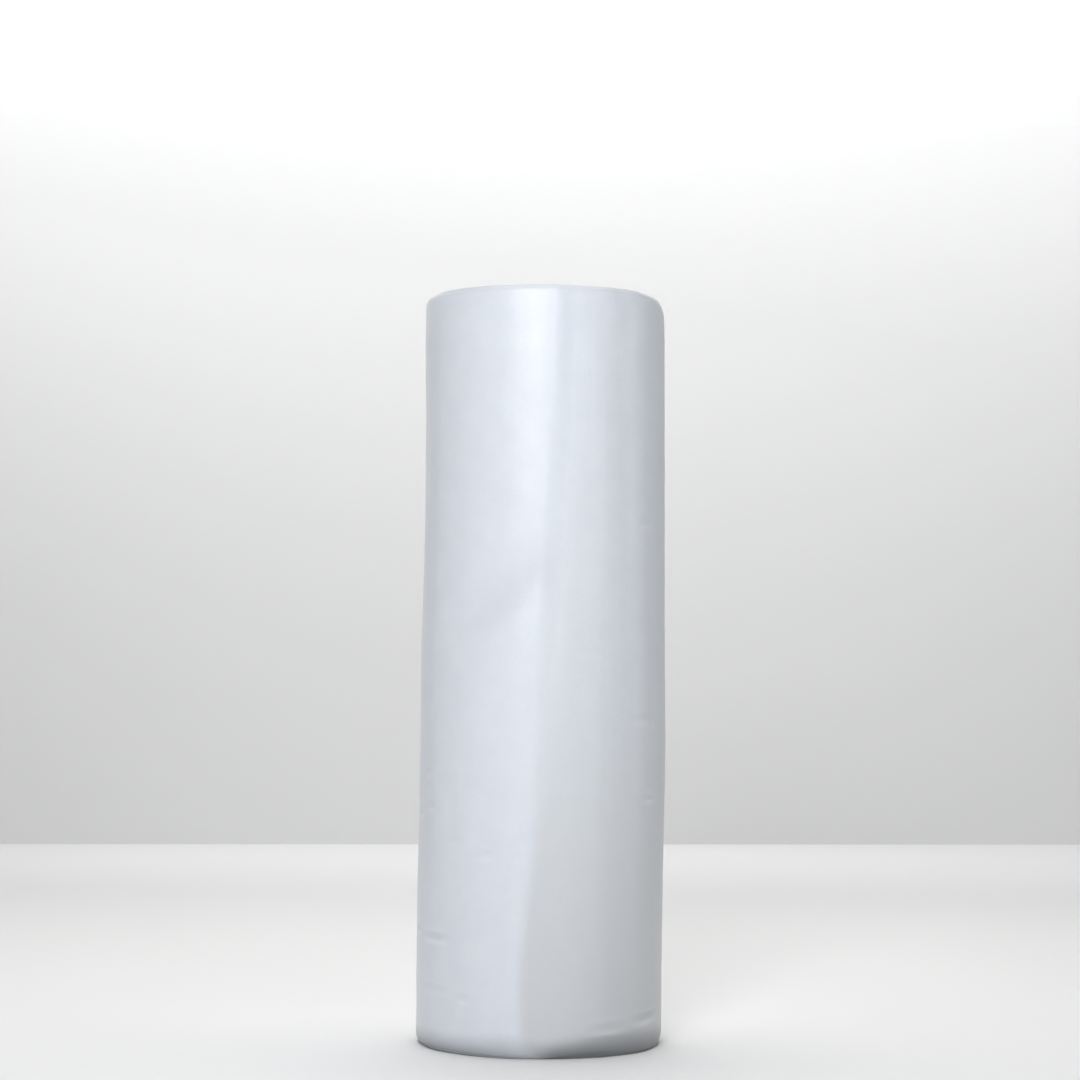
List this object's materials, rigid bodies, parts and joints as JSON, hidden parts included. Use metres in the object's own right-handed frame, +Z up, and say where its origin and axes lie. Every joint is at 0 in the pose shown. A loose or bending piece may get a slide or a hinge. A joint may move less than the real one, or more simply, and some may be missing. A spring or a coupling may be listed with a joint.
{
  "type": "roll of quilt batting",
  "caption": "Roll of white quilt batting standing on its end: soft needled wadding, folded in half and wound on itself without a core, with rounded edges and its outer end lying flat.",
  "frame": {"origin": "on the floor under the middle of the standing roll, in the plane of its flat bottom", "axes": "+Z up along the roll, -Y towards the front, where the outer end of the cloth lies, +X to the right of it"},
  "size_m": [0.392, 0.3918, 1.181],
  "materials": {
    "batting": "matt white polyester wadding with a faint lengthwise sheen"
  },
  "bodies": {
    "root": {"batting_roll": "batting"}
  },
  "joints": []
}
